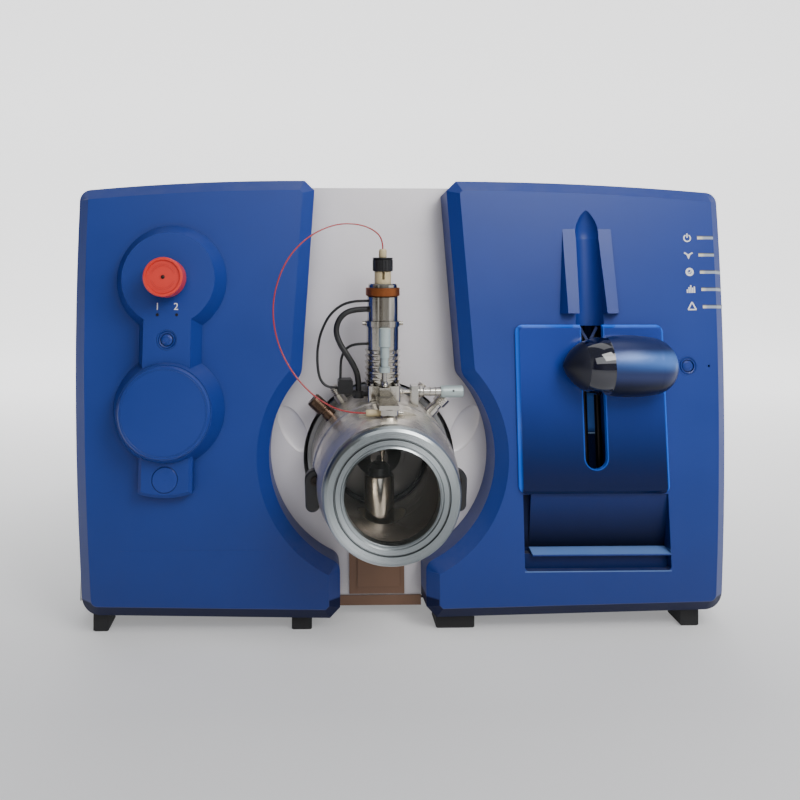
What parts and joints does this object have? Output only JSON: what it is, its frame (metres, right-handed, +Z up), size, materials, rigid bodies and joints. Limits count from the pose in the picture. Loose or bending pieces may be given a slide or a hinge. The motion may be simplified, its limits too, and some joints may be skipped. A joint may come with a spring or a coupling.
{
  "type": "mass spectrometer",
  "caption": "Benchtop liquid chromatography mass spectrometer with two moulded front covers, a plug-on ion source with window and probe tower, and a syringe pump",
  "frame": {"origin": "on the floor under the middle of the machine's bounding box", "axes": "X to the right seen from the front, Y into the machine, Z up"},
  "size_m": [0.7961, 0.892, 0.5376],
  "materials": {
    "blue_moulding": "fine satin texture",
    "grey_moulding": "satin, faint metallic",
    "cabinet_paint": "fine powder coat",
    "frame_steel": "black powder coat",
    "foot_rubber": "matt",
    "cast_alloy": "bead blasted casting",
    "polished_steel": "polished turned steel",
    "brushed_alloy": "satin anodised",
    "window_glass": "clear",
    "dark_metal": "dark heat-stained steel",
    "black_plastic": "satin",
    "red_plastic": "satin",
    "bronze": "satin turned",
    "beige_plastic": "satin",
    "thimble_paint": "satin enamel",
    "blue_acrylic": "clear tinted sheet with polished edges",
    "handle_black": "high gloss",
    "handle_dark": "soft matt",
    "handle_blue": "satin metallic",
    "light_pipe": "frosted clear",
    "red_tubing": "smooth",
    "cable_rubber": "smooth jacket",
    "steel_sheet": "brushed sheet"
  },
  "bodies": {
    "cabinet": {"base_frame": "frame_steel", "feet": "foot_rubber", "side_panel_left": "cabinet_paint", "side_panel_right": "cabinet_paint", "top_cover": "cabinet_paint", "rear_panel": "cabinet_paint", "centre_fascia": "grey_moulding", "drip_plate": "steel_sheet", "front_left_cover": "blue_moulding", "front_right_cover": "blue_moulding", "vacuum_manifold": "cast_alloy", "interface_flange": "brushed_alloy", "interface_seal": "foot_rubber", "fan_frame": "black_plastic", "power_inlet": "black_plastic", "rear_ports": "brushed_alloy", "valve_collar": "polished_steel", "round_cover": "blue_moulding", "blank_plug": "blue_moulding", "indicator_lights": "light_pipe", "syringe_panel": "blue_acrylic", "guide_rods": "polished_steel"},
    "fan": {"fan_rotor": "black_plastic"},
    "rocker": {"power_switch": "black_plastic"},
    "cap": {"valve_cap": "red_plastic"},
    "valve_key": {"valve_button": "blue_moulding"},
    "pump_key": {"pump_button": "blue_moulding"},
    "carriage": {"carriage_block": "handle_black", "handle_nose": "handle_dark", "handle_band": "handle_black", "handle_grip": "handle_blue"},
    "screw": {"lead_screw": "polished_steel"},
    "source": {"source_housing": "polished_steel", "window_ring": "brushed_alloy", "window_glass": "window_glass", "exhaust_tube": "polished_steel", "exhaust_cap": "dark_metal", "source_port_left": "dark_metal", "source_port_right": "polished_steel", "side_sleeve": "polished_steel"},
    "latch_left": {"source_latch_left": "black_plastic"},
    "latch_right": {"source_latch_right": "black_plastic"},
    "stage": {"tower_base": "polished_steel", "spindles": "polished_steel", "union_fitting": "beige_plastic", "cable_block": "black_plastic"},
    "side_thimble": {"thimble_side": "thimble_paint"},
    "front_thimble": {"thimble_front": "thimble_paint"},
    "tower": {"tower_tube": "polished_steel", "front_sleeve": "thimble_paint", "clamp_collar": "polished_steel", "probe_body": "polished_steel", "adjust_collar": "beige_plastic", "tube_nut": "beige_plastic", "red_tube": "red_tubing", "probe_cable": "cable_rubber", "outer_cable": "cable_rubber", "inner_cable": "cable_rubber"},
    "ring": {"retaining_ring": "bronze"},
    "nut": {"electrode_nut": "black_plastic"}
  },
  "joints": [
    {"name": "fan_spin", "type": "hinge", "parent": "cabinet", "child": "fan", "pos_m": [0.215, 0.396, 0.38], "axis": [0, 1, 0], "continuous": true},
    {"name": "rocker_tip", "type": "hinge", "parent": "cabinet", "child": "rocker", "pos_m": [-0.23, 0.414, 0.11], "axis": [0, 0, 1], "range_deg": [-10, 10]},
    {"name": "cap_pull", "type": "slide", "parent": "cabinet", "child": "cap", "axis": [0, -0.9952, 0.0976], "range_m": [0, 0.04]},
    {"name": "valve_press", "type": "slide", "parent": "cabinet", "child": "valve_key", "axis": [0, 0.9952, -0.0976], "range_m": [0, 0.003], "stiffness_N_per_m": 400},
    {"name": "pump_press", "type": "slide", "parent": "cabinet", "child": "pump_key", "axis": [0, 0.9952, -0.0976], "range_m": [0, 0.003], "stiffness_N_per_m": 400},
    {"name": "carriage_slide", "type": "slide", "parent": "cabinet", "child": "carriage", "axis": [0, 0.0976, 0.9952], "range_m": [-0.098, 0.01]},
    {"name": "screw_turn", "type": "hinge", "parent": "cabinet", "child": "screw", "pos_m": [0.2265, -0.30312, 0.272], "axis": [0, 0.0976, 0.9952], "continuous": true},
    {"name": "source_pull", "type": "slide", "parent": "cabinet", "child": "source", "axis": [0, -1, 0], "range_m": [0, 0.09]},
    {"name": "latch_left_swing", "type": "hinge", "parent": "source", "child": "latch_left", "pos_m": [-0.107, -0.372, 0.189], "axis": [0, 1, 0], "range_deg": [0, 90]},
    {"name": "latch_right_swing", "type": "hinge", "parent": "source", "child": "latch_right", "pos_m": [0.055, -0.372, 0.189], "axis": [0, -1, 0], "range_deg": [0, 90]},
    {"name": "stage_slide", "type": "slide", "parent": "source", "child": "stage", "axis": [1, 0, 0], "range_m": [-0.005, 0.005]},
    {"name": "side_thimble_turn", "type": "hinge", "parent": "stage", "child": "side_thimble", "pos_m": [0.057, -0.329, 0.2815], "axis": [1, 0, 0], "continuous": true},
    {"name": "front_thimble_turn", "type": "hinge", "parent": "stage", "child": "front_thimble", "pos_m": [-0.026, -0.356, 0.345], "axis": [0, 0, 1], "continuous": true},
    {"name": "tower_lift", "type": "slide", "parent": "stage", "child": "tower", "axis": [0, 0, 1], "range_m": [0, 0.01], "deforming": ["red_tube", "probe_cable", "outer_cable", "inner_cable"]},
    {"name": "ring_turn", "type": "hinge", "parent": "tower", "child": "ring", "pos_m": [-0.026, -0.329, 0.401], "axis": [0, 0, 1], "range_deg": [0, 300]},
    {"name": "nut_turn", "type": "hinge", "parent": "tower", "child": "nut", "pos_m": [-0.026, -0.329, 0.434], "axis": [0, 0, 1], "continuous": true}
  ],
  "couplings": [
    {"joint": "screw_turn", "follows": "carriage_slide", "rad_per_m": 3141.6},
    {"joint": "side_thimble_turn", "follows": "stage_slide", "rad_per_m": 12566},
    {"joint": "front_thimble_turn", "follows": "tower_lift", "rad_per_m": 12566}
  ]
}
